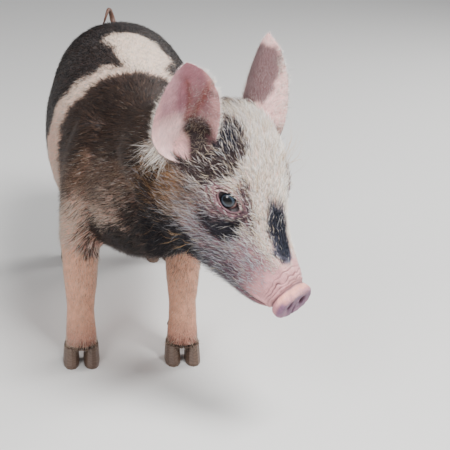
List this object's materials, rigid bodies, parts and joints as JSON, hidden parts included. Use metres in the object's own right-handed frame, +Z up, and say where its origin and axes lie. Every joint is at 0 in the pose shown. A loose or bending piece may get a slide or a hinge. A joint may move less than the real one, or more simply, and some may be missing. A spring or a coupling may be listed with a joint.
{
  "type": "domestic pig",
  "caption": "Still life-size model of a young spotted domestic pig, standing with its head lowered and turned to its left.",
  "frame": {"origin": "middle of the bounding box on the floor that the hooves stand on", "axes": "+X along the trunk towards the head, +Y to the pig's left, +Z up"},
  "size_m": [0.6062, 0.2394, 0.3748],
  "materials": {
    "dark_coat": "skin under a short bristly coat, black and dark brown with pale patches",
    "pale_coat": "pink skin under a short pale bristly coat",
    "bare_skin": "bare pink skin, slightly moist on the snout",
    "horn": "dull horn",
    "eye": "wet and glossy"
  },
  "bodies": {
    "root": {"torso": "dark_coat", "neck": "dark_coat", "head": "pale_coat", "snout": "bare_skin", "ear_right": "bare_skin", "ear_left": "bare_skin", "eye_right": "eye", "eye_left": "eye", "tail": "dark_coat", "leg_front_right": "pale_coat", "hoof_front_right_outer": "horn", "dewclaw_front_right_outer": "horn", "hoof_front_right_inner": "horn", "dewclaw_front_right_inner": "horn", "leg_hind_right": "pale_coat", "hoof_hind_right_outer": "horn", "dewclaw_hind_right_outer": "horn", "hoof_hind_right_inner": "horn", "dewclaw_hind_right_inner": "horn", "leg_front_left": "pale_coat", "hoof_front_left_outer": "horn", "dewclaw_front_left_outer": "horn", "hoof_front_left_inner": "horn", "dewclaw_front_left_inner": "horn", "leg_hind_left": "pale_coat", "hoof_hind_left_outer": "horn", "dewclaw_hind_left_outer": "horn", "hoof_hind_left_inner": "horn", "dewclaw_hind_left_inner": "horn"}
  },
  "joints": []
}
